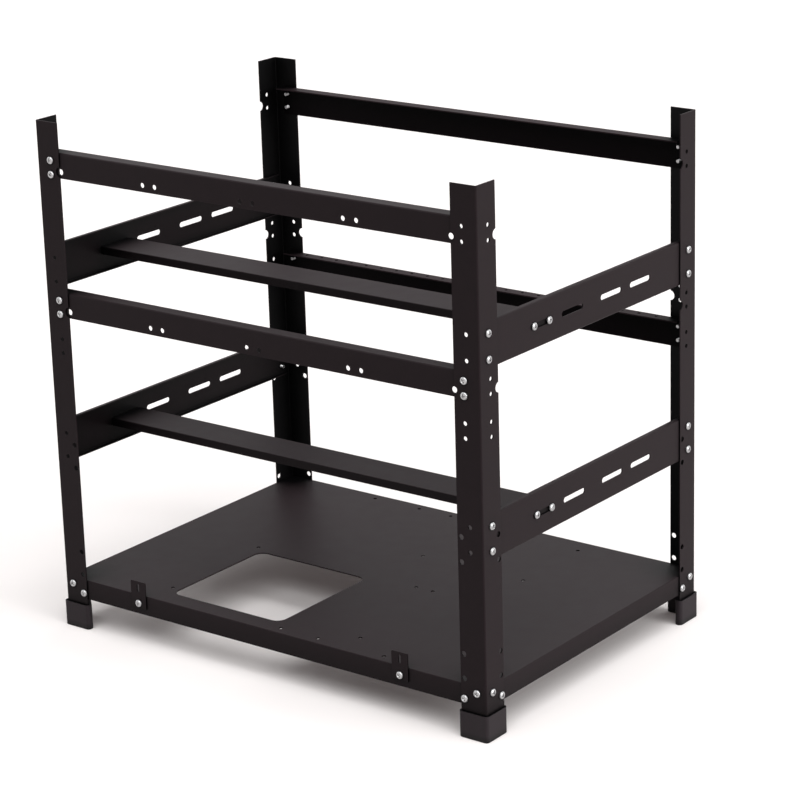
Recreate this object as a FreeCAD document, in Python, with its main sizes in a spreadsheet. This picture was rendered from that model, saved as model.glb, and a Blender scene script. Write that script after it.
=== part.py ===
import FreeCAD, Part
import math
import operator
import os
import types
import Sketcher

# Open bench frame for a computing rig: four steel angle posts carry folded
# rails, two adjustable card supports and a base tray, and stand on four feet.
# X runs left to right, Y runs front to back and Z is height above the floor.

# Driving dimensions in millimetres. A level is a height above the floor and
# a column is a distance from a post's outer corner along either flange.
DRIVING = {
    # Overall size over the posts
    "frame_width": 520.0,
    "frame_depth": 360.0,
    "frame_height": 520.0,
    # Sheet stock
    "post_sheet": 1.2,
    "panel_sheet": 1.2,
    "bend_radius": 0.6,
    # Posts
    "post_flange": 28.0,
    "rail_column": 17.0,
    "side_column": 14.0,
    "cable_column": 24.0,
    "notch_diameter": 10.0,
    "cable_hole": 5.4,
    "upper_cable_level": 183.1,
    "lower_cable_level": 70.1,
    # Rails' screw pairs: the top ones below the posts' ends, the rest by level
    "top_rail_drop": 44.6,
    "front_rail_level": 335.8,
    "back_rail_level": 296.0,
    "upper_side_level": 373.2,
    "lower_side_level": 193.9,
    "rail_screw_pitch": 14.0,
    "side_screw_pitch": 24.0,
    # Front and back rails
    "rail_overhang": 5.0,
    "rail_flange": 14.0,
    "front_rail_height": 25.0,
    "front_screw_rise": 10.0,
    "back_rail_height": 29.5,
    "accessory_hole": 5.0,
    "accessory_pitch": 15.0,
    "accessory_spread": 119.5,
    "accessory_drop": 3.6,
    "end_hole": 6.0,
    "end_hole_column": 28.6,
    "card_hole": 3.4,
    "card_pitch": 20.0,
    "card_hole_setback": 7.0,
    # Side rails and their slots
    "side_rail_height": 43.5,
    "side_rail_flange": 5.0,
    "side_screw_rise": 21.3,
    "slot_length": 35.0,
    "slot_width": 5.5,
    "inner_slot_offset": 32.2,
    "outer_slot_offset": 82.0,
    # Card supports
    "support_width": 42.0,
    "support_height": 8.1,
    "support_screw_rise": 3.6,
    "support_screw_pitch": 24.0,
    "support_corner": 2.0,
    # Base tray
    "tray_level": 52.1,
    "tray_skirt": 20.0,
    "tray_corner": 3.0,
    "tray_edge": 1.0,
    "tray_near_column": 10.0,
    "tray_far_column": 24.0,
    "tray_near_drop": 5.9,
    "tray_far_drop": 13.8,
    "cutout_width": 137.5,
    "cutout_depth": 136.2,
    "cutout_front": 21.2,
    "cutout_corner": 10.0,
    "board_hole": 4.0,
    "board_right": 123.9,
    "board_front": 10.3,
    "board_pitch": 2.54,
    "edge_hole_setback": 10.8,
    "edge_hole_near": 34.5,
    "edge_hole_middle": 75.9,
    "edge_hole_far": 135.3,
    # Upright tray brackets
    "bracket_width": 18.8,
    "bracket_height": 28.0,
    "bracket_spread": 324.0,
    "bracket_level": 38.7,
    "bracket_corner": 1.5,
    "bracket_screw_rise": 5.0,
    "bracket_slot_drop": 7.0,
    "bracket_slot_length": 8.6,
    "bracket_slot_width": 3.0,
    # Feet
    "foot_height": 26.0,
    "foot_wall": 1.1,
    "foot_reveal": 1.4,
    "foot_thickness": 8.0,
    "foot_end_wall": 2.0,
    "foot_floor": 3.0,
    "foot_gap": 0.15,
    "foot_round": 3.6,
    "foot_edge": 1.0,
    # Screws
    "screw_hole": 4.3,
    "screw_shank": 4.0,
    "screw_length": 6.0,
    "screw_head": 7.4,
    "screw_head_top": 5.6,
    "screw_head_height": 2.2,
}

# Hole places of the standard desktop board, from its front right hole in
# steps of the board's pitch, a tenth of an inch, to the left and to the back.
BOARD_HOLES = (
    (0, 0), (31, 0), (49, 0), (18, 9), (111, 9), (0, 61), (23, 61), (31, 61), (111, 61),
    (0, 89.5), (49, 89.5), (0, 128),
)
# Points this close together, in millimetres, count as one.
NEAR = 0.01

doc = FreeCAD.newDocument("rig_frame")
sheet = doc.addObject("Spreadsheet::Sheet", "Sizes")
for row, (alias, value) in enumerate(DRIVING.items(), start=1):
    sheet.set(f"A{row}", alias)
    sheet.set(f"B{row}", str(value))
    sheet.setAlias(f"B{row}", alias)
doc.recompute()


class Size:
    """A length held both as a number and as an expression on the sheet."""

    def __init__(self, number, text):
        self.number = number
        self.text = text

    def joined(self, other, sign, work):
        if not isinstance(other, Size):
            other = Size(other, str(other))
        return Size(work(self.number, other.number), f"({self.text} {sign} {other.text})")

    def __add__(self, other):
        return self.joined(other, "+", operator.add)

    def __sub__(self, other):
        return self.joined(other, "-", operator.sub)

    def __mul__(self, other):
        return self.joined(other, "*", operator.mul)

    def __truediv__(self, other):
        return self.joined(other, "/", operator.truediv)


size = types.SimpleNamespace()
for alias in DRIVING:
    setattr(size, alias, Size(float(sheet.get(alias)), f"Sizes.{alias}"))
half_width = size.frame_width / 2
half_depth = size.frame_depth / 2
inner_half_width = half_width - size.post_sheet
inner_half_depth = half_depth - size.post_sheet
rail_length = size.frame_width - (size.rail_column - size.rail_overhang) * 2
side_length = size.frame_depth - (size.side_column - size.rail_overhang) * 2
support_length = (inner_half_width - size.panel_sheet) * 2
tray_width = inner_half_width * 2
tray_depth = inner_half_depth * 2
top_rail_level = size.frame_height - size.top_rail_drop
foot_proud = size.foot_wall + size.foot_reveal
# Column and level of the two screws that hold the tray to each flange.
TRAY_SCREWS = (
    (size.tray_near_column, size.tray_level - size.tray_near_drop),
    (size.tray_far_column, size.tray_level - size.tray_far_drop),
)


def number(value):
    """Plain number of a size, or the value itself."""
    return value.number if isinstance(value, Size) else value


def point(x, y):
    return FreeCAD.Vector(number(x), number(y), 0)


def new_body(label):
    body = doc.addObject("PartDesign::Body", label)
    body.Label = label
    return body


def new_sketch(body, role, height=None):
    """Sketch on one of the body's origin planes, raised by a height if given."""
    sketch = body.newObject("Sketcher::SketchObject", f"{body.Name}_sketch")
    plane = next(part for part in body.Origin.OriginFeatures if part.Role == role)
    sketch.AttachmentSupport = [(plane, "")]
    sketch.MapMode = "FlatFace"
    if height:
        sketch.setExpression("AttachmentOffset.Base.z", height.text)
    return sketch


def constrain(sketch, kind, *arguments):
    """Add a constraint, bound to the sheet where its last argument is a size."""
    index = sketch.addConstraint(Sketcher.Constraint(kind, *[number(item) for item in arguments]))
    if isinstance(arguments[-1], Size):
        sketch.setExpression(f"Constraints[{index}]", arguments[-1].text)


def fix_point(sketch, geometry, end, x, y):
    """Hold a point at (x, y), where a plain 0 lays it on that axis."""
    for kind, axis, value in (("DistanceX", -2, x), ("DistanceY", -1, y)):
        if isinstance(value, Size):
            constrain(sketch, kind, -1, 1, geometry, end, value)
        else:
            constrain(sketch, "PointOnObject", geometry, end, axis)


def draw_outline(sketch, corners):
    """Closed polygon through the corners."""
    points = [point(x, y) for x, y in corners]
    ends = points[1:] + points[:1]
    lines = [sketch.addGeometry(Part.LineSegment(first, last)) for first, last in zip(points, ends)]
    for line, following in zip(lines, lines[1:] + lines[:1]):
        constrain(sketch, "Coincident", line, 2, following, 1)
    for line, (x, y) in zip(lines, corners):
        fix_point(sketch, line, 1, x, y)


def draw_rectangle(sketch, left, low, right, high):
    draw_outline(sketch, ((left, low), (right, low), (right, high), (left, high)))


def draw_circle(sketch, x, y, diameter):
    ring = sketch.addGeometry(Part.Circle(point(x, y), FreeCAD.Vector(0, 0, 1), diameter.number / 2))
    fix_point(sketch, ring, 3, x, y)
    constrain(sketch, "Diameter", ring, diameter)


def draw_pair(sketch, x, y, pitch, diameter):
    """Two holes one above the other about (x, y)."""
    draw_circle(sketch, x, y + pitch / 2, diameter)
    draw_circle(sketch, x, y - pitch / 2, diameter)


def draw_slot(sketch, start, end, width):
    """Slot with round ends about two centres."""
    first, last = point(*start), point(*end)
    heading = math.atan2(last.y - first.y, last.x - first.x)
    quarter = math.pi / 2
    radius = width.number / 2
    upright = FreeCAD.Vector(0, 0, 1)
    side = FreeCAD.Vector(-math.sin(heading), math.cos(heading), 0) * radius
    tail_circle = Part.Circle(first, upright, radius)
    nose_circle = Part.Circle(last, upright, radius)
    tail = sketch.addGeometry(Part.ArcOfCircle(tail_circle, heading + quarter, heading + 3 * quarter))
    nose = sketch.addGeometry(Part.ArcOfCircle(nose_circle, heading - quarter, heading + quarter))
    left = sketch.addGeometry(Part.LineSegment(last + side, first + side))
    right = sketch.addGeometry(Part.LineSegment(first - side, last - side))
    for joint in ((left, 2, tail, 1), (tail, 2, right, 1), (right, 2, nose, 1), (nose, 2, left, 1)):
        constrain(sketch, "Tangent", *joint)
    constrain(sketch, "Equal", tail, nose)
    fix_point(sketch, tail, 3, *start)
    fix_point(sketch, nose, 3, *end)
    constrain(sketch, "Diameter", tail, width)


def pad(body, sketch, length, reverse=False):
    feature = body.newObject("PartDesign::Pad", f"{body.Name}_pad")
    feature.Profile = sketch
    feature.Reversed = reverse
    feature.setExpression("Length", length.text)


def cut(body, sketch, depth=None, reverse=False):
    """Pocket to a depth, or right through, and make sure that it removed metal."""
    doc.recompute()
    before = body.Shape.Volume
    feature = body.newObject("PartDesign::Pocket", f"{body.Name}_pocket")
    feature.Profile = sketch
    feature.Reversed = reverse
    if depth:
        feature.setExpression("Length", depth.text)
    else:
        feature.Type = "ThroughAll"
    doc.recompute()
    if body.Shape.Volume >= before:
        raise RuntimeError(f"{feature.Name} cuts nothing")
    return feature


def straight_edges(axis, places):
    """Test for edges along one axis (0, 1 or 2) at places on the other two axes."""
    others = [way for way in range(3) if way != axis]

    def stands_at(vertex, place):
        return all(abs(vertex.Point[way] - number(value)) < NEAR for way, value in zip(others, place))

    def chosen(edge):
        return any(all(stands_at(vertex, place) for vertex in edge.Vertexes) for place in places)

    return chosen


def level_edges(height):
    """Test for edges that lie at one height."""

    def chosen(edge):
        return all(abs(vertex.Point.z - number(height)) < NEAR for vertex in edge.Vertexes)

    return chosen


def round_edges(body, radius, chosen):
    doc.recompute()
    base = body.Tip
    names = [f"Edge{place}" for place, edge in enumerate(base.Shape.Edges, start=1) if chosen(edge)]
    feature = body.newObject("PartDesign::Fillet", f"{body.Name}_fillet")
    feature.Base = (base, names)
    feature.setExpression("Radius", radius.text)


def place(piece, x, y, z, turn=0):
    """Stand a piece at (x, y, z), turned about the upright axis by degrees."""
    upright = FreeCAD.Vector(0, 0, 1)
    piece.Placement = FreeCAD.Placement(FreeCAD.Vector(), FreeCAD.Rotation(upright, turn))
    for axis, value in zip("xyz", (x, y, z)):
        if isinstance(value, Size):
            piece.setExpression(f"Placement.Base.{axis}", value.text)


def draw_post_holes(sketch):
    """The hole pattern that both flanges of every post share."""
    floor = size.foot_floor
    for level in (top_rail_level, size.front_rail_level, size.back_rail_level):
        draw_pair(sketch, size.rail_column, level - floor, size.rail_screw_pitch, size.screw_hole)
    for level in (size.upper_side_level, size.lower_side_level):
        draw_pair(sketch, size.side_column, level - floor, size.side_screw_pitch, size.screw_hole)
    for level in (size.upper_cable_level, size.lower_cable_level):
        draw_pair(sketch, size.cable_column, level - floor, size.side_screw_pitch, size.cable_hole)
    for column, level in TRAY_SCREWS:
        draw_circle(sketch, column, level - floor, size.screw_hole)
    for level in (top_rail_level, size.front_rail_level):
        notch_level = level - size.accessory_drop - floor
        draw_circle(sketch, size.end_hole_column, notch_level, size.notch_diameter)


def make_post(label, x, y, turn):
    """Folded angle whose corner stands at (x, y)."""
    body = new_body(label)
    flange, metal = size.post_flange, size.post_sheet
    corners = ((0, 0), (flange, 0), (flange, metal), (metal, metal), (metal, flange), (0, flange))
    profile = new_sketch(body, "XY_Plane")
    draw_outline(profile, corners)
    pad(body, profile, size.frame_height - size.foot_floor)
    round_edges(body, size.bend_radius + metal, straight_edges(2, ((0, 0),)))
    round_edges(body, size.bend_radius, straight_edges(2, ((metal, metal),)))
    for role, reverse in (("XZ_Plane", False), ("YZ_Plane", True)):
        holes = new_sketch(body, role)
        draw_post_holes(holes)
        cut(body, holes, reverse=reverse)
    place(body, x, y, size.foot_floor, turn)


def make_foot(label, x, y, turn):
    """Moulded cap that the lower end of a post drops into."""
    body = new_body(label)
    thick, gap = size.foot_thickness, size.foot_gap
    leg = foot_proud + size.post_flange + size.foot_end_wall
    block = new_sketch(body, "XY_Plane")
    draw_outline(block, ((0, 0), (leg, 0), (leg, thick), (thick, thick), (thick, leg), (0, leg)))
    pad(body, block, size.foot_height)
    ends = ((0, 0), (leg, 0), (leg, thick), (thick, leg), (0, leg))
    round_edges(body, size.foot_round, straight_edges(2, ends))
    round_edges(body, size.foot_edge, level_edges(0))
    near = size.foot_wall
    far = foot_proud + size.post_sheet + gap
    tip = foot_proud + size.post_flange + gap
    socket = new_sketch(body, "XY_Plane", size.foot_height)
    draw_outline(socket, ((near, near), (tip, near), (tip, far), (far, far), (far, tip), (near, tip)))
    cut(body, socket, size.foot_height - size.foot_floor)
    round_edges(body, size.bend_radius, straight_edges(2, ((far, far),)))
    post_bend = size.bend_radius + size.post_sheet
    round_edges(body, post_bend + size.foot_reveal, straight_edges(2, ((near, near),)))
    place(body, x, y, 0, turn)


def fold_rail(label, length, corners, outer_bends, inner_bends):
    """Rail of one folded section, with its bends rounded outside and inside."""
    body = new_body(label)
    section = new_sketch(body, "YZ_Plane")
    draw_outline(section, corners)
    pad(body, section, length)
    round_edges(body, size.bend_radius + size.panel_sheet, straight_edges(0, outer_bends))
    round_edges(body, size.bend_radius, straight_edges(0, inner_bends))
    return body


def make_angle(label, length, height, flange):
    """Rail with an upright web and a flange folded inwards along its top."""
    metal = size.panel_sheet
    under = height - metal
    corners = ((0, 0), (metal, 0), (metal, under), (flange, under), (flange, height), (0, height))
    return fold_rail(label, length, corners, ((0, height),), ((metal, under),))


def make_channel(label, length, height, flange):
    """Rail with an upright web and a flange folded inwards along both its edges."""
    metal = size.panel_sheet
    under = height - metal
    lower_half = ((0, 0), (flange, 0), (flange, metal), (metal, metal))
    upper_half = ((metal, under), (flange, under), (flange, height), (0, height))
    outer_bends = ((0, 0), (0, height))
    inner_bends = ((metal, metal), (metal, under))
    return fold_rail(label, length, lower_half + upper_half, outer_bends, inner_bends)


def draw_end_pairs(sketch, length, level, pitch):
    """Screw pairs near both ends of a rail."""
    for x in (size.rail_overhang, length - size.rail_overhang):
        draw_pair(sketch, x, level, pitch, size.screw_hole)


def make_front_rail(label, level):
    """Front rail with pairs of accessory holes and a hole in each post notch."""
    body = make_angle(label, rail_length, size.front_rail_height, size.rail_flange)
    holes = new_sketch(body, "XZ_Plane")
    draw_end_pairs(holes, rail_length, size.front_screw_rise, size.rail_screw_pitch)
    line = size.front_screw_rise - size.accessory_drop
    middle = rail_length / 2
    for pair in (middle - size.accessory_spread, middle, middle + size.accessory_spread):
        draw_circle(holes, pair - size.accessory_pitch / 2, line, size.accessory_hole)
        draw_circle(holes, pair + size.accessory_pitch / 2, line, size.accessory_hole)
    end_reach = half_width - size.end_hole_column
    draw_circle(holes, middle - end_reach, line, size.end_hole)
    draw_circle(holes, middle + end_reach, line, size.end_hole)
    cut(body, holes)
    place(body, rail_length / -2, inner_half_depth * -1, level - size.front_screw_rise)


def make_back_rail(label, level):
    """Back rail, held at mid-height of its web."""
    body = make_angle(label, rail_length, size.back_rail_height, size.rail_flange)
    middle = size.back_rail_height / 2
    holes = new_sketch(body, "XZ_Plane")
    draw_end_pairs(holes, rail_length, middle, size.rail_screw_pitch)
    cut(body, holes)
    place(body, rail_length / 2, inner_half_depth, level - middle, 180)
    return body


def add_card_holes(body):
    """Row of holes along the flange that the cards' brackets are screwed to."""
    steps = int(rail_length.number / 2 / size.card_pitch.number) - 1
    first = rail_length / 2 - size.card_pitch * steps
    hole = new_sketch(body, "XY_Plane")
    draw_circle(hole, first, size.card_hole_setback, size.card_hole)
    seed = cut(body, hole, reverse=True)
    row = body.newObject("PartDesign::LinearPattern", f"{body.Name}_row")
    row.Originals = [seed]
    row.Direction = (hole, ["H_Axis"])
    row.Occurrences = 2 * steps + 1
    row.setExpression("Length", (size.card_pitch * (2 * steps)).text)
    body.Tip = row


def make_side_rail(label, level, x, y, turn):
    """Tall side rail, a shallow channel with two slots towards each end."""
    body = make_channel(label, side_length, size.side_rail_height, size.side_rail_flange)
    middle = side_length / 2
    line = size.side_screw_rise
    holes = new_sketch(body, "XZ_Plane")
    draw_end_pairs(holes, side_length, line, size.side_screw_pitch)
    reach = (size.slot_length - size.slot_width) / 2
    for offset in (size.inner_slot_offset, size.outer_slot_offset):
        for centre in (middle - offset, middle + offset):
            draw_slot(holes, (centre - reach, line), (centre + reach, line), size.slot_width)
    cut(body, holes)
    place(body, x, y, level - line, turn)


def make_pan(label, length, width, height, corner, edge):
    """Sheet with skirts folded down all round, open below."""
    body = new_body(label)
    metal = size.panel_sheet
    outside = new_sketch(body, "XY_Plane")
    draw_rectangle(outside, 0, 0, length, width)
    pad(body, outside, height)
    round_edges(body, corner, straight_edges(2, ((0, 0), (length, 0), (length, width), (0, width))))
    round_edges(body, edge, level_edges(height))
    inside = new_sketch(body, "XY_Plane")
    draw_rectangle(inside, metal, metal, length - metal, width - metal)
    cut(body, inside, height - metal, reverse=True)
    low, right, high = metal, length - metal, width - metal
    inner_corners = ((low, low), (right, low), (right, high), (low, high))
    round_edges(body, corner - metal, straight_edges(2, inner_corners))
    return body


def make_support(label, level):
    """Card support between the side rails, screwed into their front slots."""
    corner = size.support_corner
    body = make_pan(label, support_length, size.support_width, size.support_height, corner, size.tray_edge)
    middle = size.support_width / 2
    line = size.support_screw_rise
    holes = new_sketch(body, "YZ_Plane")
    for y in (middle - size.support_screw_pitch / 2, middle + size.support_screw_pitch / 2):
        draw_circle(holes, y, line, size.screw_hole)
    cut(body, holes, reverse=True)
    place(body, support_length / -2, (size.outer_slot_offset + middle) * -1, level - line)


def make_tray():
    """Base tray with the board's holes and a square opening under its middle."""
    body = make_pan("base_tray", tray_width, tray_depth, size.tray_skirt, size.tray_corner, size.tray_edge)
    middle = tray_width / 2
    opening = new_sketch(body, "XY_Plane", size.tray_skirt)
    left, front = middle - size.cutout_width, size.cutout_front
    back = front + size.cutout_depth
    draw_rectangle(opening, left, front, middle, back)
    cut(body, opening, size.panel_sheet)
    corners = ((left, front), (middle, front), (middle, back), (left, back))
    round_edges(body, size.cutout_corner, straight_edges(2, corners))
    holes = new_sketch(body, "XY_Plane", size.tray_skirt)
    for across, along in BOARD_HOLES:
        x = tray_width - size.board_right - size.board_pitch * across
        y = size.board_front + size.board_pitch * along
        draw_circle(holes, x, y, size.board_hole)
    for offset in (size.edge_hole_near, size.edge_hole_middle, size.edge_hole_far):
        draw_circle(holes, middle - offset, tray_depth - size.edge_hole_setback, size.board_hole)
    cut(body, holes, size.panel_sheet)
    base = size.tray_level - size.tray_skirt
    for role, width, reverse in (("XZ_Plane", tray_width, False), ("YZ_Plane", tray_depth, True)):
        holes = new_sketch(body, role)
        for column, level in TRAY_SCREWS:
            reach = column - size.post_sheet
            draw_circle(holes, reach, level - base, size.screw_hole)
            draw_circle(holes, width - reach, level - base, size.screw_hole)
        if role == "XZ_Plane":
            for x in (middle - size.bracket_spread / 2, middle + size.bracket_spread / 2):
                draw_circle(holes, x, size.bracket_level + size.bracket_screw_rise - base, size.screw_hole)
        cut(body, holes, reverse=reverse)
    place(body, inner_half_width * -1, inner_half_depth * -1, base)


def make_bracket(label, centre):
    """Flat upright tab with a slot, screwed to the front of the tray."""
    body = new_body(label)
    width, height = size.bracket_width, size.bracket_height
    middle = width / 2
    plate = new_sketch(body, "XZ_Plane")
    draw_rectangle(plate, 0, 0, width, height)
    draw_circle(plate, middle, size.bracket_screw_rise, size.screw_hole)
    reach = (size.bracket_slot_length - size.bracket_slot_width) / 2
    slot_level = height - size.bracket_slot_drop
    draw_slot(plate, (middle, slot_level - reach), (middle, slot_level + reach), size.bracket_slot_width)
    pad(body, plate, size.panel_sheet, reverse=True)
    round_edges(body, size.bracket_corner, straight_edges(1, ((0, height), (width, height))))
    place(body, centre - middle, (inner_half_depth + size.panel_sheet) * -1, size.bracket_level)


def screw_at(seat, outward):
    """Pan-head screw whose head sits on the seat and faces outward."""
    rim, top = size.screw_head.number / 2, size.screw_head_top.number / 2
    head = Part.makeCone(rim, top, size.screw_head_height.number)
    shank_end = FreeCAD.Vector(0, 0, -size.screw_length.number)
    shank = Part.makeCylinder(size.screw_shank.number / 2, size.screw_length.number, shank_end)
    screw = head.fuse(shank)
    turn = FreeCAD.Rotation(FreeCAD.Vector(0, 0, 1), outward)
    screw.Placement = FreeCAD.Placement(seat, turn)
    return screw


def make_screws(label, seats):
    """All the like screws of one joint as separate solids of one piece."""
    group = doc.addObject("Part::Feature", label)
    group.Label = label
    group.Shape = Part.makeCompound([screw_at(seat, outward) for seat, outward in seats])
    group.Placement = FreeCAD.Placement()


def end_seats(side, front, column, level, pitch=None):
    """Screw seats on a post's front or back flange: one, or a pair about a level."""
    x = side * (half_width - column).number
    y = front * half_depth.number
    rises = (pitch.number / 2, -pitch.number / 2) if pitch else (0,)
    return [(FreeCAD.Vector(x, y, level.number + rise), FreeCAD.Vector(0, front, 0)) for rise in rises]


def side_seats(side, front, column, level, pitch=None):
    """Screw seats on a post's side flange: one, or a pair about a level."""
    x = side * half_width.number
    y = front * (half_depth - column).number
    rises = (pitch.number / 2, -pitch.number / 2) if pitch else (0,)
    return [(FreeCAD.Vector(x, y, level.number + rise), FreeCAD.Vector(side, 0, 0)) for rise in rises]


LEFT, RIGHT, FRONT, BACK = -1, 1, -1, 1
CORNERS = {
    "front_left": (LEFT, FRONT, 0),
    "front_right": (RIGHT, FRONT, 90),
    "back_right": (RIGHT, BACK, 180),
    "back_left": (LEFT, BACK, 270),
}
foot_x = half_width + foot_proud
foot_y = half_depth + foot_proud
for name, (side, front, turn) in CORNERS.items():
    make_post(f"post_{name}", half_width * side, half_depth * front, turn)
    make_foot(f"foot_{name}", foot_x * side, foot_y * front, turn)

make_front_rail("front_rail_top", top_rail_level)
make_front_rail("front_rail_middle", size.front_rail_level)
make_back_rail("back_rail_top", top_rail_level)
add_card_holes(make_back_rail("back_rail_middle", size.back_rail_level))
for name, level in (("upper", size.upper_side_level), ("lower", size.lower_side_level)):
    make_side_rail(f"side_rail_right_{name}", level, inner_half_width, side_length / -2, 90)
    make_side_rail(f"side_rail_left_{name}", level, inner_half_width * -1, side_length / 2, 270)
    make_support(f"card_support_{name}", level)
make_tray()
make_bracket("tray_bracket_left", size.bracket_spread / -2)
make_bracket("tray_bracket_right", size.bracket_spread / 2)

# The top front rail's right end has its two holes open.
rail_seats = []
for side, front, level in (
    (LEFT, FRONT, top_rail_level),
    (LEFT, FRONT, size.front_rail_level),
    (RIGHT, FRONT, size.front_rail_level),
    (LEFT, BACK, top_rail_level),
    (RIGHT, BACK, top_rail_level),
    (LEFT, BACK, size.back_rail_level),
    (RIGHT, BACK, size.back_rail_level),
):
    rail_seats += end_seats(side, front, size.rail_column, level, size.rail_screw_pitch)
make_screws("rail_screws", rail_seats)

side_rail_seats = []
support_seats = []
tray_seats = []
for side in (LEFT, RIGHT):
    for level in (size.upper_side_level, size.lower_side_level):
        for front in (FRONT, BACK):
            side_rail_seats += side_seats(side, front, size.side_column, level, size.side_screw_pitch)
        for reach in (size.support_screw_pitch / -2, size.support_screw_pitch / 2):
            y = (reach - size.outer_slot_offset).number
            seat = FreeCAD.Vector(side * inner_half_width.number, y, level.number)
            support_seats.append((seat, FreeCAD.Vector(side, 0, 0)))
    for front in (FRONT, BACK):
        for column, level in TRAY_SCREWS:
            tray_seats += end_seats(side, front, column, level)
            tray_seats += side_seats(side, front, column, level)
make_screws("side_rail_screws", side_rail_seats)
make_screws("card_support_screws", support_seats)
make_screws("tray_screws", tray_seats)

bracket_seats = []
for side in (LEFT, RIGHT):
    x = side * size.bracket_spread.number / 2
    y = -(inner_half_depth + size.panel_sheet).number
    z = (size.bracket_level + size.bracket_screw_rise).number
    bracket_seats.append((FreeCAD.Vector(x, y, z), FreeCAD.Vector(0, FRONT, 0)))
make_screws("bracket_screws", bracket_seats)

doc.recompute()
failed = [item.Name for item in doc.Objects if "Invalid" in item.State or "Error" in item.State]
if failed:
    raise RuntimeError(f"these did not build: {failed}")
pieces = [item for item in doc.Objects if item.TypeId in ("PartDesign::Body", "Part::Feature")]
for piece in pieces:
    if piece.Shape.isNull() or not piece.Shape.isValid():
        raise RuntimeError(f"{piece.Label} has no valid shape")
os.makedirs("parts", exist_ok=True)
for piece in pieces:
    piece.Shape.exportStep(f"parts/{piece.Label}.step")
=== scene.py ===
import math
import random

import bmesh
import bpy
from mathutils import Matrix, Vector


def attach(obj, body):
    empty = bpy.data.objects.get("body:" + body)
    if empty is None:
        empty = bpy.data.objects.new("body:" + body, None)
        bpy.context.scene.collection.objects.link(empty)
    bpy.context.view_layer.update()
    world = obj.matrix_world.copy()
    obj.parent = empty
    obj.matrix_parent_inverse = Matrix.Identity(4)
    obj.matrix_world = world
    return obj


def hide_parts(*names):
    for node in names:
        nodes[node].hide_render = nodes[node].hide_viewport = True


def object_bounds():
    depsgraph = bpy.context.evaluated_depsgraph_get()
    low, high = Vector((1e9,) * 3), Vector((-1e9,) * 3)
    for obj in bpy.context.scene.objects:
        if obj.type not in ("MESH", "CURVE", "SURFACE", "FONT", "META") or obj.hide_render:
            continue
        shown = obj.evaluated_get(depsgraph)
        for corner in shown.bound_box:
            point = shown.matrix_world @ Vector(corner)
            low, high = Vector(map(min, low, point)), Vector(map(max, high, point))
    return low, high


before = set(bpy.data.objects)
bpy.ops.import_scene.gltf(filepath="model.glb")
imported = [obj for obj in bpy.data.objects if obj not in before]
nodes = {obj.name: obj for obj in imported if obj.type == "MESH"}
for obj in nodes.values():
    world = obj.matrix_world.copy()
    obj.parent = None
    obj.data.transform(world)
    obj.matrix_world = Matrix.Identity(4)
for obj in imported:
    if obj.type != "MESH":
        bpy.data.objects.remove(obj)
cad_low, cad_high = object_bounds()

# Lengths below are in metres unless a comment says otherwise, and MM turns millimetres into them.
MM = 0.001
BODY = "root"
SCREW_NODES = ("rail_screws", "side_rail_screws", "card_support_screws", "tray_screws", "bracket_screws")


# Material building blocks

# Most of a noise lies between these values, so its colours are spread over them.
NOISE_ENDS = (0.3, 0.7)


def new_material(name):
    """Material with an empty node tree, its principled shader and its output."""
    material = bpy.data.materials.new(name)
    material.use_nodes = True
    tree = material.node_tree
    tree.nodes.clear()
    shader = tree.nodes.new("ShaderNodeBsdfPrincipled")
    output = tree.nodes.new("ShaderNodeOutputMaterial")
    tree.links.new(shader.outputs["BSDF"], output.inputs["Surface"])
    return material, tree, shader


def add_noise(tree, grains_per_metre, detail, roughness=0.5):
    """Noise over the object's own coordinates, as its factor output."""
    place = tree.nodes.new("ShaderNodeTexCoord")
    noise = tree.nodes.new("ShaderNodeTexNoise")
    noise.inputs["Scale"].default_value = grains_per_metre
    noise.inputs["Detail"].default_value = detail
    noise.inputs["Roughness"].default_value = roughness
    tree.links.new(place.outputs["Object"], noise.inputs["Vector"])
    return noise.outputs["Fac"]


def add_ramp(tree, factor, low, high, ends=NOISE_ENDS):
    """Colour that goes from low to high while a factor goes from one of the ends to the other."""
    ramp = tree.nodes.new("ShaderNodeValToRGB")
    for point, position, colour in zip(ramp.color_ramp.elements, ends, (low, high)):
        point.position = position
        point.color = (*colour, 1)
    tree.links.new(factor, ramp.inputs["Fac"])
    return ramp.outputs["Color"]


def add_range(tree, factor, low, high):
    """Number that goes from low to high while a factor goes from 0 to 1."""
    spread = tree.nodes.new("ShaderNodeMapRange")
    spread.inputs["To Min"].default_value = low
    spread.inputs["To Max"].default_value = high
    tree.links.new(factor, spread.inputs["Value"])
    return spread.outputs["Result"]


def add_fade(tree, value, start, end):
    """Factor that goes from 0 to 1 while a value goes from start to end."""
    fade = tree.nodes.new("ShaderNodeMapRange")
    fade.inputs["From Min"].default_value = start
    fade.inputs["From Max"].default_value = end
    tree.links.new(value, fade.inputs["Value"])
    return fade.outputs["Result"]


def add_math(tree, operation, *values):
    """Result of a sum or another operation on one or two values."""
    step = tree.nodes.new("ShaderNodeMath")
    step.operation = operation
    for value, socket in zip(values, step.inputs):
        tree.links.new(value, socket)
    return step.outputs["Value"]


def add_mix(tree, factor, first, second):
    """Colour that goes from first to second with a factor. Either is an output or a plain colour."""
    mix = tree.nodes.new("ShaderNodeMix")
    mix.data_type = "RGBA"
    tree.links.new(factor, mix.inputs["Factor"])
    for colour, socket in ((first, mix.inputs["A"]), (second, mix.inputs["B"])):
        if isinstance(colour, tuple):
            socket.default_value = (*colour, 1)
        else:
            tree.links.new(colour, socket)
    return mix.outputs["Result"]


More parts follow.
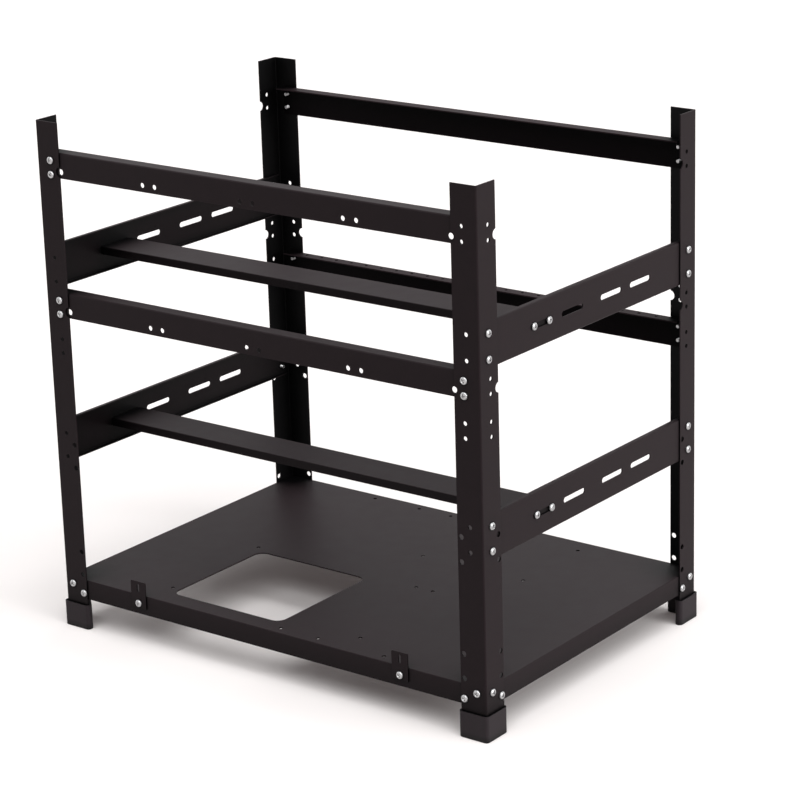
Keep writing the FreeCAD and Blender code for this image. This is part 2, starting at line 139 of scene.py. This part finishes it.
def add_bump(tree, height, strength, depth, under=None):
    """Bump of a depth over a height factor, on top of another bump if there is one."""
    bump = tree.nodes.new("ShaderNodeBump")
    bump.inputs["Strength"].default_value = strength
    bump.inputs["Distance"].default_value = depth
    tree.links.new(height, bump.inputs["Height"])
    if under:
        tree.links.new(under, bump.inputs["Normal"])
    return bump.outputs["Normal"]


# Where painted shade darkens a finish

# Faces that look inwards, where the inner sides get painted shade, count in full up to the first depth inside
# the frame's box, and not from the second.
INNER_FULL = 6 * MM
INNER_NONE = 14 * MM
# Size of the upward part of a face's normal where the face counts as level, and as upright.
LEVEL_TILT = 0.7
UPRIGHT_TILT = 0.3
# Painted shade in a finish's creases looks for nearby surfaces within its reach.
COAT_SHADE_REACH = 60 * MM
PLASTIC_SHADE_REACH = 8 * MM
CREASE_SAMPLES = 8
# Openness, which is 1 on a free face, where the painted crease shade begins and where it is full.
CREASE_OPEN = 0.98
CREASE_SHUT = 0.66
# Colour of the painted shade in folds and joints.
CREASE_SHADE_BLACK = (0.0006, 0.0005, 0.0006)


def add_inner_side(tree):
    """Factor that is 1 on the inner sides of the sheets round the frame, where painted shade goes, and 0
    elsewhere.
    """
    place = tree.nodes.new("ShaderNodeTexCoord")
    facing = tree.nodes.new("ShaderNodeVectorMath")
    facing.operation = "MULTIPLY"
    tree.links.new(place.outputs["Object"], facing.inputs[0])
    tree.links.new(place.outputs["Normal"], facing.inputs[1])
    split = tree.nodes.new("ShaderNodeSeparateXYZ")
    tree.links.new(facing.outputs["Vector"], split.inputs["Vector"])
    # Added up, both directions let the inner bends of the posts count too.
    across = add_math(tree, "ADD", split.outputs["X"], split.outputs["Y"])
    sides = []
    for outwards, reach in ((across, cad_high.x), (split.outputs["Y"], cad_high.y)):
        sides.append(add_fade(tree, outwards, INNER_NONE - reach, INNER_FULL - reach))
    return add_math(tree, "MAXIMUM", *sides)


def add_upright(tree):
    """Factor that is 1 on upright faces and 0 on level ones, where the supports' skirts get painted shade."""
    place = tree.nodes.new("ShaderNodeTexCoord")
    split = tree.nodes.new("ShaderNodeSeparateXYZ")
    tree.links.new(place.outputs["Normal"], split.inputs["Vector"])
    tilt = add_math(tree, "ABSOLUTE", split.outputs["Z"])
    return add_fade(tree, tilt, LEVEL_TILT, UPRIGHT_TILT)


def add_crease_shade(tree, reach):
    """Painted shade factor from ambient occlusion: 1 deep in folds and joints, where shade falls, and 0 on
    open faces.
    """
    nearby = tree.nodes.new("ShaderNodeAmbientOcclusion")
    nearby.samples = CREASE_SAMPLES
    nearby.inputs["Distance"].default_value = reach
    return add_fade(tree, nearby.outputs["AO"], CREASE_OPEN, CREASE_SHUT)


# Powder coat

COAT_LOW = (0.0150, 0.0101, 0.0115)
COAT_HIGH = (0.0172, 0.0116, 0.0132)
COAT_GLOSS = 0.08
COAT_ROUGHNESS = {"low": 0.44, "high": 0.54}
COAT_MOTTLE = {"grains_per_metre": 55, "detail": 4.0}
COAT_PEEL = {"grains_per_metre": 620, "detail": 1.0}
COAT_PEEL_BUMP = {"strength": 0.12, "depth": 0.12 * MM}
COAT_GRAIN = {"grains_per_metre": 3200, "detail": 2.0}
COAT_GRAIN_BUMP = {"strength": 0.16, "depth": 0.04 * MM}
# The back rails' coat is less glossy than the other sheets', and lighter outside.
BACK_GLOSS = 0.03
BACK_LIGHTNESS = 1.5
# Painted shade for the inner sides of the posts and of the back rails.
POST_INNER_SHADE = (0.0007, 0.0007, 0.0009)
BACK_INNER_SHADE = (0.0034, 0.0021, 0.0026)
# Painted shade for the inner sides of the side rails, and for the upright skirts of the card supports.
SHADE_DARK = (0.0024, 0.0008, 0.0013)


def powder_coat(name, shade_where=None, shade_colour=None, gloss=COAT_GLOSS, lightness=1.0):
    """Fine satin black powder coat, with painted shade in creases and on the faces that are picked out."""
    material, tree, shader = new_material(name)
    shader.inputs["Specular IOR Level"].default_value = gloss
    low, high = (tuple(lightness * value for value in colour) for colour in (COAT_LOW, COAT_HIGH))
    mottle = add_noise(tree, **COAT_MOTTLE)
    colour = add_ramp(tree, mottle, low, high)
    # Painted shade on the faces that are picked out: inner sides or upright skirts.
    if shade_where:
        colour = add_mix(tree, shade_where(tree), colour, shade_colour)
    # Painted shade in creases, from ambient occlusion.
    colour = add_mix(tree, add_crease_shade(tree, COAT_SHADE_REACH), colour, CREASE_SHADE_BLACK)
    tree.links.new(colour, shader.inputs["Base Color"])
    tree.links.new(add_range(tree, mottle, **COAT_ROUGHNESS), shader.inputs["Roughness"])
    peel = add_bump(tree, add_noise(tree, **COAT_PEEL), **COAT_PEEL_BUMP)
    grain = add_bump(tree, add_noise(tree, **COAT_GRAIN), **COAT_GRAIN_BUMP, under=peel)
    tree.links.new(grain, shader.inputs["Normal"])
    return material


# Moulded plastic

PLASTIC_LOW = (0.0150, 0.0104, 0.0125)
PLASTIC_HIGH = (0.0184, 0.0132, 0.0157)
PLASTIC_GLOSS = 0.22
PLASTIC_ROUGHNESS = {"low": 0.56, "high": 0.66}
PLASTIC_CLOUD = {"grains_per_metre": 90, "detail": 3.0}
PLASTIC_GRAIN = {"grains_per_metre": 2100, "detail": 3.0, "roughness": 0.6}
PLASTIC_GRAIN_BUMP = {"strength": 0.3, "depth": 0.06 * MM}


def moulded_plastic():
    """Black moulded plastic with a fine spark-eroded grain and painted shade in its creases."""
    material, tree, shader = new_material("moulded_plastic")
    shader.inputs["Specular IOR Level"].default_value = PLASTIC_GLOSS
    cloud = add_noise(tree, **PLASTIC_CLOUD)
    colour = add_ramp(tree, cloud, PLASTIC_LOW, PLASTIC_HIGH)
    # Painted shade in the creases of the feet, from ambient occlusion.
    colour = add_mix(tree, add_crease_shade(tree, PLASTIC_SHADE_REACH), colour, CREASE_SHADE_BLACK)
    tree.links.new(colour, shader.inputs["Base Color"])
    tree.links.new(add_range(tree, cloud, **PLASTIC_ROUGHNESS), shader.inputs["Roughness"])
    grain = add_bump(tree, add_noise(tree, **PLASTIC_GRAIN), **PLASTIC_GRAIN_BUMP)
    tree.links.new(grain, shader.inputs["Normal"])
    return material


# Zinc plate

ZINC_LOW = (0.35, 0.35, 0.36)
ZINC_HIGH = (0.48, 0.48, 0.48)
ZINC_ENDS = (0.25, 0.75)
ZINC_ROUGHNESS = {"low": 0.24, "high": 0.38}
ZINC_BLOOM = {"grains_per_metre": 900, "detail": 3.0}
ZINC_GRAIN = {"grains_per_metre": 5200, "detail": 2.0}
ZINC_GRAIN_BUMP = {"strength": 0.1, "depth": 0.02 * MM}


def zinc_plate():
    """Bright zinc plate with a fine grain and a little bloom."""
    material, tree, shader = new_material("zinc_plate")
    shader.inputs["Metallic"].default_value = 1.0
    bloom = add_noise(tree, **ZINC_BLOOM)
    colour = add_ramp(tree, bloom, ZINC_LOW, ZINC_HIGH, ZINC_ENDS)
    tree.links.new(colour, shader.inputs["Base Color"])
    tree.links.new(add_range(tree, bloom, **ZINC_ROUGHNESS), shader.inputs["Roughness"])
    grain = add_bump(tree, add_noise(tree, **ZINC_GRAIN), **ZINC_GRAIN_BUMP)
    tree.links.new(grain, shader.inputs["Normal"])
    return material


# Screws

HEAD_RADIUS = 3.7 * MM
HEAD_HEIGHT = 2.2 * MM
HEAD_RIM = 0.5 * MM
# The lower edge of the head is broken by this much inwards and upwards.
HEAD_EDGE_IN = 0.15 * MM
HEAD_EDGE_UP = 0.12 * MM
CROWN_STEPS = 8
# Below 1, the crown is fuller than an ellipse.
CROWN_POWER = 0.6
SHANK_RADIUS = 2.0 * MM
SHANK_LENGTH = 6.0 * MM
THREAD_PITCH = 0.7 * MM
THREAD_DEPTH = 0.4 * MM
RING_STEPS = 32
THREAD_STEPS = 6
RECESS_REACH = 2.5 * MM
RECESS_WIDTH = 1.0 * MM
RECESS_DEPTH = 1.5 * MM
RECESS_TAPER = 0.45
# The tool that cuts the recess stands above the head by this much.
RECESS_OVERSHOOT = 0.3 * MM
SHARP_ANGLE = math.radians(38)
QUARTER_TURN = math.pi / 2
TURN_SEED = 7
# Points of a plain screw that are this near are one, and seats are sorted to this many decimals of a metre.
SAME_POINT = 0.001 * MM
SORT_DECIMALS = 5


def thread_radius(height, share):
    """Radius of the shank's thread at a height, at a share of a turn."""
    phase = (height / THREAD_PITCH - share) % 1.0
    ridge = 1.0 - abs(2.0 * phase - 1.0)
    lead_in = min(1.0, (height + SHANK_LENGTH) / THREAD_PITCH)
    return SHANK_RADIUS - THREAD_DEPTH + THREAD_DEPTH * ridge * lead_in


def head_profile():
    """(radius, height) points of the pan head, from its underside nearly to the middle of its crown."""
    points = [(HEAD_RADIUS - HEAD_EDGE_IN, 0.0), (HEAD_RADIUS, HEAD_EDGE_UP), (HEAD_RADIUS, HEAD_RIM)]
    for step in range(1, CROWN_STEPS):
        angle = QUARTER_TURN * step / CROWN_STEPS
        radius = HEAD_RADIUS * math.cos(angle) ** CROWN_POWER
        points.append((radius, HEAD_RIM + (HEAD_HEIGHT - HEAD_RIM) * math.sin(angle)))
    return points


def bridge(shape, low, high):
    """Join two closed loops with equally many points by a band of faces."""
    for step in range(len(low)):
        after = (step + 1) % len(low)
        shape.faces.new((low[step], low[after], high[after], high[step]))


def turned_screw():
    """Screw with its seat at the origin and its head up, before its recess is cut."""
    rings = []
    count = round(SHANK_LENGTH / THREAD_PITCH * THREAD_STEPS)
    for index in range(count + 1):
        height = -SHANK_LENGTH + SHANK_LENGTH * index / count
        rings.append([(thread_radius(height, step / RING_STEPS), height) for step in range(RING_STEPS)])
    for radius, height in head_profile():
        rings.append([(radius, height)] * RING_STEPS)
    shape = bmesh.new()
    loops = []
    for ring in rings:
        loop = []
        for step, (radius, height) in enumerate(ring):
            angle = 2 * math.pi * step / RING_STEPS
            loop.append(shape.verts.new((radius * math.cos(angle), radius * math.sin(angle), height)))
        loops.append(loop)
    for low, high in zip(loops, loops[1:]):
        bridge(shape, low, high)
    shape.faces.new(reversed(loops[0]))
    crown = shape.verts.new((0, 0, HEAD_HEIGHT))
    last = loops[-1]
    for step in range(RING_STEPS):
        shape.faces.new((last[step], last[(step + 1) % RING_STEPS], crown))
    return shape


def recess_tool():
    """Tapered cross that the head's recess is cut with."""
    half = RECESS_WIDTH / 2
    cross = (
        (RECESS_REACH, -half), (RECESS_REACH, half), (half, half), (half, RECESS_REACH),
        (-half, RECESS_REACH), (-half, half), (-RECESS_REACH, half), (-RECESS_REACH, -half),
        (-half, -half), (-half, -RECESS_REACH), (half, -RECESS_REACH), (half, -half),
    )
    shape = bmesh.new()
    bottom = HEAD_HEIGHT - RECESS_DEPTH
    low = [shape.verts.new((x * RECESS_TAPER, y * RECESS_TAPER, bottom)) for x, y in cross]
    high = [shape.verts.new((x, y, HEAD_HEIGHT + RECESS_OVERSHOOT)) for x, y in cross]
    bridge(shape, low, high)
    shape.faces.new(reversed(low))
    shape.faces.new(high)
    return shape


def object_from(shape, name):
    """Object with a finished mesh, in the scene."""
    mesh = bpy.data.meshes.new(name)
    bmesh.ops.recalc_face_normals(shape, faces=shape.faces)
    shape.to_mesh(mesh)
    shape.free()
    made = bpy.data.objects.new(name, mesh)
    bpy.context.scene.collection.objects.link(made)
    return made


def screw_mesh():
    """Mesh of one cross-recess pan-head screw."""
    blank = object_from(turned_screw(), "screw_blank")
    tool = object_from(recess_tool(), "recess_tool")
    recess = blank.modifiers.new("recess", "BOOLEAN")
    recess.operation = "DIFFERENCE"
    recess.solver = "EXACT"
    recess.object = tool
    finished = blank.evaluated_get(bpy.context.evaluated_depsgraph_get())
    mesh = bpy.data.meshes.new_from_object(finished)
    bpy.data.objects.remove(blank)
    bpy.data.objects.remove(tool)
    return mesh


def loose_parts(mesh):
    """Points of each separate solid in a mesh, as one list a solid."""
    shape = bmesh.new()
    shape.from_mesh(mesh)
    bmesh.ops.remove_doubles(shape, verts=shape.verts, dist=SAME_POINT)
    waiting = set(shape.verts)
    parts = []
    while waiting:
        part = []
        front = [waiting.pop()]
        while front:
            vertex = front.pop()
            part.append(vertex.co.copy())
            linked = {edge.other_vert(vertex) for edge in vertex.link_edges} & waiting
            waiting -= linked
            front += linked
        parts.append(part)
    shape.free()
    return parts


def screw_seats(node):
    """(seat, outward axis) of every screw in a node, with the seat at the head's underside."""
    seats = []
    for part in loose_parts(nodes[node].data):
        low = Vector(map(min, zip(*part)))
        high = Vector(map(max, zip(*part)))
        middle = (low + high) / 2
        axis = max(range(3), key=lambda way: high[way] - low[way])
        outward = Vector((0, 0, 0))
        outward[axis] = math.copysign(1, middle[axis])
        seat = middle + outward * ((high[axis] - low[axis]) / 2 - HEAD_HEIGHT)
        seats.append((seat, outward))
    return sorted(seats, key=lambda item: tuple(round(value, SORT_DECIMALS) for value in item[0]))


def dress_screws(node, screw, finish, dice):
    """Put a detailed screw in place of each plain one of a node, turned at random."""
    points, faces = [], []
    for seat, outward in screw_seats(node):
        turn = outward.to_track_quat("Z", "Y").to_matrix().to_4x4()
        spin = Matrix.Rotation(dice.uniform(0, QUARTER_TURN), 4, "Z")
        placed = Matrix.Translation(seat) @ turn @ spin
        first = len(points)
        points += [placed @ vertex.co for vertex in screw.vertices]
        faces += [[first + index for index in face.vertices] for face in screw.polygons]
    mesh = bpy.data.meshes.new(f"{node}_detail")
    mesh.from_pydata(points, [], faces)
    mesh.shade_smooth()
    mesh.set_sharp_from_angle(angle=SHARP_ANGLE)
    mesh.materials.append(finish)
    piece = bpy.data.objects.new(f"{node}_detail", mesh)
    bpy.context.scene.collection.objects.link(piece)
    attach(piece, BODY)
    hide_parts(node)


# Camera

# Azimuth and elevation are in degrees, and the roll is in radians.
CAMERA_AZIMUTH = 36.005
CAMERA_ELEVATION = 17.484
CAMERA_ROLL = -0.02063
# The offset is the place of the frame's middle from the camera: to the right, down and ahead.
CAMERA_OFFSET = Vector((-105.0, -1.7, 2772.9)) * MM
CAMERA_SHIFT = (-0.1, -0.03)
# The focal length in pixels of the square picture, and Blender's sensor width in millimetres.
FOCAL_PIXELS = 2821.6
PICTURE_PIXELS = 800
SENSOR = 36.0


def add_camera():
    """Camera at the photograph's viewing angle, fitted to the frame's corners and holes."""
    azimuth, elevation = math.radians(CAMERA_AZIMUTH), math.radians(CAMERA_ELEVATION)
    ahead = Vector((
        -math.sin(azimuth) * math.cos(elevation),
        math.cos(azimuth) * math.cos(elevation),
        -math.sin(elevation),
    ))
    right = Vector((math.cos(azimuth), math.sin(azimuth), 0))
    down = ahead.cross(right)
    roll_cos, roll_sin = math.cos(CAMERA_ROLL), math.sin(CAMERA_ROLL)
    rolled_right = right * roll_cos - down * roll_sin
    rolled_down = right * roll_sin + down * roll_cos
    axes = Matrix((rolled_right, -rolled_down, -ahead)).transposed()
    middle = (cad_low + cad_high) / 2
    offset = rolled_right * CAMERA_OFFSET.x + rolled_down * CAMERA_OFFSET.y + ahead * CAMERA_OFFSET.z
    data = bpy.data.cameras.new("camera")
    data.sensor_width = SENSOR
    data.lens = FOCAL_PIXELS * SENSOR / PICTURE_PIXELS
    data.shift_x, data.shift_y = CAMERA_SHIFT
    camera = bpy.data.objects.new("camera", data)
    camera.matrix_world = Matrix.Translation(middle - offset) @ axes.to_4x4()
    bpy.context.scene.collection.objects.link(camera)
    bpy.context.scene.camera = camera


# Floor and light

FLOOR_REACH = 40.0
FLOOR_LOW = (0.90, 0.87, 0.86)
FLOOR_HIGH = (0.92, 0.89, 0.88)
FLOOR_GRAIN = {"grains_per_metre": 3, "detail": 3.0}
FLOOR_ROUGHNESS = 0.9
# To bounced light the floor is dark grey, so that it hardly lights the object from below.
FLOOR_BOUNCE = (0.12, 0.12, 0.12)
# A faint warm glow that lifts the shadows for the eye.
FLOOR_LIFT = 0.05
FLOOR_WARMTH = (1.0, 0.80, 0.78)
# The world's light for what the eye doesn't meet.
AMBIENT = 0.10


def add_seen(tree):
    """Factor that is 1 for what the eye meets, also in reflections, and 0 for bounced light."""
    path = tree.nodes.new("ShaderNodeLightPath")
    seen = path.outputs["Is Camera Ray"]
    for ray in ("Is Glossy Ray", "Is Transmission Ray"):
        seen = add_math(tree, "MAXIMUM", seen, path.outputs[ray])
    return seen


def white_floor():
    """Plain white studio floor with a faint grain, whose shadows are lifted a little for the eye."""
    material, tree, shader = new_material("white_floor")
    shader.inputs["Specular IOR Level"].default_value = 0.0
    shader.inputs["Roughness"].default_value = FLOOR_ROUGHNESS
    shader.inputs["Emission Color"].default_value = (*FLOOR_WARMTH, 1)
    seen = add_seen(tree)
    grain = add_ramp(tree, add_noise(tree, **FLOOR_GRAIN), FLOOR_LOW, FLOOR_HIGH)
    tree.links.new(add_mix(tree, seen, FLOOR_BOUNCE, grain), shader.inputs["Base Color"])
    tree.links.new(add_range(tree, seen, 0.0, FLOOR_LIFT), shader.inputs["Emission Strength"])
    return material


def add_floor():
    """Wide level floor that the feet stand on."""
    corners = [(x * FLOOR_REACH, y * FLOOR_REACH, cad_low.z) for x, y in ((-1, -1), (1, -1), (1, 1), (-1, 1))]
    mesh = bpy.data.meshes.new("floor")
    mesh.from_pydata(corners, [], [(0, 1, 2, 3)])
    mesh.materials.append(white_floor())
    floor = bpy.data.objects.new("floor", mesh)
    bpy.context.scene.collection.objects.link(floor)


def add_sun(name, azimuth, elevation, strength, spread):
    """Soft far light from an azimuth (0 in front, 90 on the right) and an elevation, in degrees."""
    turn, rise = math.radians(azimuth), math.radians(elevation)
    towards = Vector((math.sin(turn) * math.cos(rise), -math.cos(turn) * math.cos(rise), math.sin(rise)))
    data = bpy.data.lights.new(name, "SUN")
    data.energy = strength
    data.angle = math.radians(spread)
    lamp = bpy.data.objects.new(name, data)
    lamp.rotation_mode = "QUATERNION"
    lamp.rotation_quaternion = towards.to_track_quat("Z", "Y")
    bpy.context.scene.collection.objects.link(lamp)


def add_world():
    """White to the eye and in reflections, and a softer level of light elsewhere."""
    world = bpy.data.worlds.new("studio")
    world.use_nodes = True
    tree = world.node_tree
    tree.nodes.clear()
    level = add_range(tree, add_seen(tree), AMBIENT, 1.0)
    background = tree.nodes.new("ShaderNodeBackground")
    background.inputs["Color"].default_value = (1, 1, 1, 1)
    tree.links.new(level, background.inputs["Strength"])
    output = tree.nodes.new("ShaderNodeOutputWorld")
    tree.links.new(background.outputs["Background"], output.inputs["Surface"])
    bpy.context.scene.world = world


# The scene

add_camera()
bpy.context.scene.view_settings.view_transform = "Standard"
add_world()
add_sun("overhead", azimuth=40, elevation=64, strength=2.75, spread=64)
add_sun("right", azimuth=95, elevation=16, strength=2.2, spread=40)
add_sun("back", azimuth=180, elevation=22, strength=0.9, spread=50)
add_sun("left", azimuth=-90, elevation=25, strength=0.7, spread=40)
add_floor()

# Coats with painted shade on their inner sides or skirts, by the start of the nodes' names.
coats = {
    "post_": powder_coat("powder_coat_posts", add_inner_side, POST_INNER_SHADE),
    "back_rail_": powder_coat("powder_coat_back", add_inner_side, BACK_INNER_SHADE, BACK_GLOSS, BACK_LIGHTNESS),
    "side_rail_": powder_coat("powder_coat_sides", add_inner_side, SHADE_DARK),
    "card_support_": powder_coat("powder_coat_supports", add_upright, SHADE_DARK),
}
plain_coat = powder_coat("powder_coat")
plastic, zinc = moulded_plastic(), zinc_plate()
for name, node in nodes.items():
    if name in SCREW_NODES:
        continue
    finish, slot = plain_coat, "frame_coat"
    if name.startswith("foot_"):
        finish, slot = plastic, "foot_plastic"
    for start, coat in coats.items():
        if name.startswith(start):
            finish = coat
    node.data.materials.clear()
    node.data.materials.append(finish)

dice = random.Random(TURN_SEED)
screw = screw_mesh()
for name in SCREW_NODES:
    dress_screws(name, screw, zinc, dice)
bpy.data.meshes.remove(screw)
